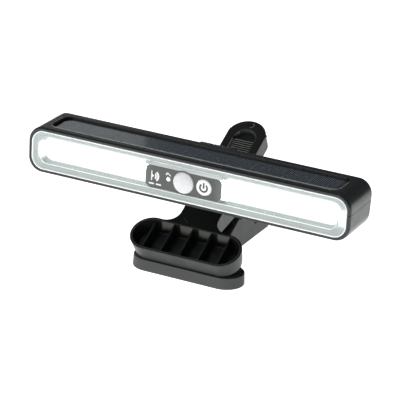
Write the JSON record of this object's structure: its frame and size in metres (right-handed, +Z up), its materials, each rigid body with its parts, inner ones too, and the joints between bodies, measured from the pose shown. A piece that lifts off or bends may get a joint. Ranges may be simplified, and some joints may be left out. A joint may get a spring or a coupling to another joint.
{
  "type": "solar motion-sensor clip light",
  "caption": "Long flat light bar with a solar top, motion sensor and push button, tilting on a wide-jawed spring clamp that also stands on a table.",
  "frame": {"origin": "middle of the footprint, on the surface that the lower jaw and lower lever stand on", "axes": "+X along the light bar to the right of the lit face, +Y from the lit face to the clamp's handles, +Z up"},
  "size_m": [0.25, 0.1406, 0.0904],
  "materials": {
    "housing_black": "moulded ABS, semi-gloss",
    "clamp_black": "moulded plastic, satin",
    "clear_lens": "clear polycarbonate, polished",
    "control_grey": "printed grey plate, satin",
    "frosted_white": "milky polyethylene Fresnel lens",
    "button_white": "moulded white cap",
    "reflector_white": "white moulded reflector",
    "led_board_white": "white solder mask with diodes",
    "sensor_metal": "nickel-plated can",
    "switch_black": "moulded",
    "light_pipe_clear": "clear acrylic",
    "foam_black": "foam tape",
    "solar_cells": "cells under clear resin",
    "inner_black": "moulded",
    "battery_wrap": "shrink film",
    "board_green": "solder mask",
    "wire_red": "soft insulation",
    "wire_black": "soft insulation",
    "screw_steel": "zinc plated",
    "pin_steel": "nickel plated",
    "spring_steel": "bright spring wire",
    "pad_rubber": "ribbed soft rubber",
    "washer_nylon": "nylon"
  },
  "bodies": {
    "lower_lever": {"lower_lever": "clamp_black", "lower_jaw_pad": "pad_rubber", "pivot_pin": "pin_steel", "pivot_retaining_clip": "pin_steel", "torsion_spring": "spring_steel"},
    "upper_lever": {"upper_lever": "clamp_black", "upper_jaw_pad": "pad_rubber", "tilt_bolt": "pin_steel", "tilt_nut": "pin_steel", "friction_washer_1": "washer_nylon", "friction_washer_2": "washer_nylon"},
    "light_bar": {"upper_shell": "housing_black", "lower_shell": "housing_black", "housing_screw_1": "screw_steel", "housing_screw_2": "screw_steel", "housing_screw_3": "screw_steel", "housing_screw_4": "screw_steel", "front_lens": "clear_lens", "control_plate": "control_grey", "pir_lens": "frosted_white", "reflector_tray": "reflector_white", "led_board": "led_board_white", "pir_sensor": "sensor_metal", "tact_switch": "switch_black", "indicator_light_pipe": "light_pipe_clear", "panel_bonding_pad": "foam_black", "solar_panel": "solar_cells", "battery_holder": "inner_black", "battery_cell": "battery_wrap", "charging_board": "board_green", "board_rail_front": "inner_black", "board_rail_rear": "inner_black", "solar_lead_red": "wire_red", "battery_lead_red": "wire_red", "solar_lead_black": "wire_black", "battery_lead_black": "wire_black", "hinge_bracket": "clamp_black", "bracket_screw_1": "screw_steel", "bracket_screw_2": "screw_steel"},
    "power_button": {"power_button": "button_white"}
  },
  "joints": [
    {"name": "clamp_pivot", "type": "hinge", "parent": "lower_lever", "child": "upper_lever", "pos_m": [0, 0.011, 0.033], "axis": [-1, 0, 0], "range_deg": [0, 35], "stiffness_Nm_per_rad": 0.9, "springref_deg": -51.57, "deforming": ["torsion_spring"]},
    {"name": "bar_tilt", "type": "hinge", "parent": "upper_lever", "child": "light_bar", "pos_m": [0, -0.013, 0.075], "axis": [-1, 0, 0], "range_deg": [-25, 60]},
    {"name": "power_button_press", "type": "slide", "parent": "light_bar", "child": "power_button", "axis": [0, 1, 0], "range_m": [0, 0.0006], "stiffness_N_per_m": 1500, "springref_m": -0.0008}
  ]
}
